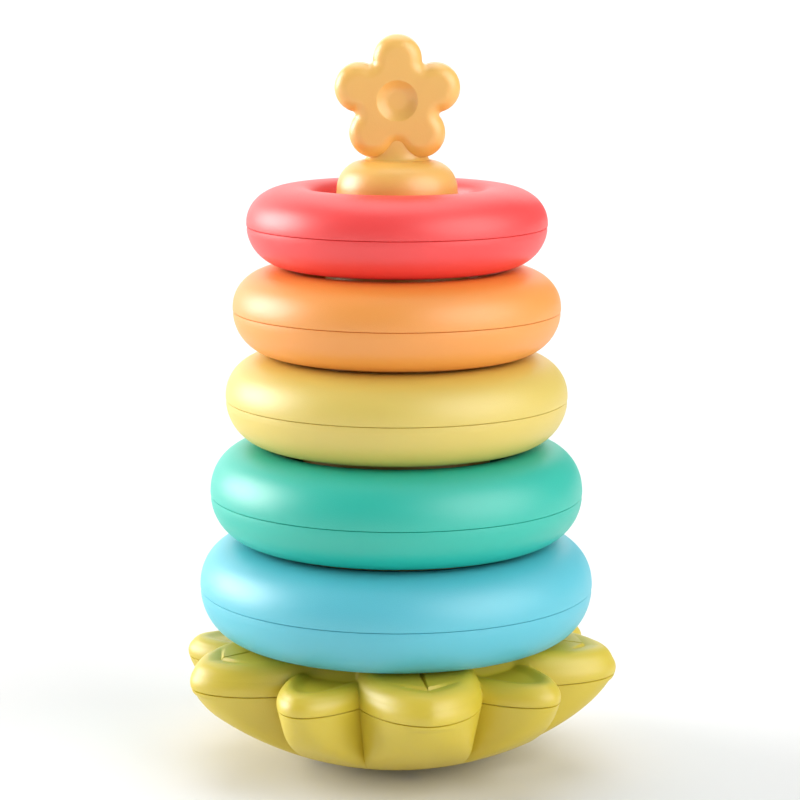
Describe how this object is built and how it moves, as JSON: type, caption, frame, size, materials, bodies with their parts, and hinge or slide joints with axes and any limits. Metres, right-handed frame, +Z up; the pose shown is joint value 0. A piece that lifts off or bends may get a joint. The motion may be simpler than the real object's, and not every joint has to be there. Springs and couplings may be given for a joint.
{
  "type": "stacking ring toy",
  "caption": "Stacking toy: plump hollow rings that shrink upwards on a tapered post with a flower on top, on a weighted round-bottomed base edged with leaves.",
  "frame": {"origin": "centre of the small flat at the very bottom of the round base", "axes": "+Z up along the post, -Y towards the side that the flower faces, +X to the right seen from there"},
  "size_m": [0.1408, 0.1408, 0.2373],
  "materials": {
    "blue_plastic": "satin moulded plastic, blue",
    "green_plastic": "satin moulded plastic, green",
    "yellow_plastic": "satin moulded plastic, yellow",
    "orange_plastic": "satin moulded plastic, orange",
    "red_plastic": "satin moulded plastic, red",
    "leaf_plastic": "satin moulded plastic, olive green",
    "post_plastic": "satin moulded plastic, light orange",
    "steel": "zinc-plated screw steel",
    "weight_iron": "plain pressed iron"
  },
  "bodies": {
    "base": {"bottom_shell": "leaf_plastic", "leaf_cover": "leaf_plastic", "post": "post_plastic", "flower_front": "post_plastic", "flower_back": "post_plastic", "base_screw_1": "steel", "base_screw_2": "steel", "base_screw_3": "steel", "base_screw_4": "steel", "base_screw_5": "steel", "post_screw_1": "steel", "post_screw_2": "steel", "post_screw_3": "steel", "post_screw_4": "steel", "post_screw_5": "steel", "flower_screw": "steel", "counterweight": "weight_iron", "weight_washer": "steel", "weight_screw": "steel"},
    "blue_ring": {"blue_ring_upper_shell": "blue_plastic", "blue_ring_lower_shell": "blue_plastic"},
    "green_ring": {"green_ring_upper_shell": "green_plastic", "green_ring_lower_shell": "green_plastic"},
    "yellow_ring": {"yellow_ring_upper_shell": "yellow_plastic", "yellow_ring_lower_shell": "yellow_plastic"},
    "orange_ring": {"orange_ring_upper_shell": "orange_plastic", "orange_ring_lower_shell": "orange_plastic"},
    "red_ring": {"red_ring_upper_shell": "red_plastic", "red_ring_lower_shell": "red_plastic"}
  },
  "joints": [
    {"name": "blue_ring_lift", "type": "slide", "parent": "base", "child": "blue_ring", "axis": [0, 0, 1], "range_m": [0, 0.205]},
    {"name": "green_ring_lift", "type": "slide", "parent": "blue_ring", "child": "green_ring", "axis": [0, 0, 1], "range_m": [0, 0.173]},
    {"name": "yellow_ring_lift", "type": "slide", "parent": "green_ring", "child": "yellow_ring", "axis": [0, 0, 1], "range_m": [0, 0.141]},
    {"name": "orange_ring_lift", "type": "slide", "parent": "yellow_ring", "child": "orange_ring", "axis": [0, 0, 1], "range_m": [0, 0.112]},
    {"name": "red_ring_lift", "type": "slide", "parent": "orange_ring", "child": "red_ring", "axis": [0, 0, 1], "range_m": [0, 0.083]}
  ]
}
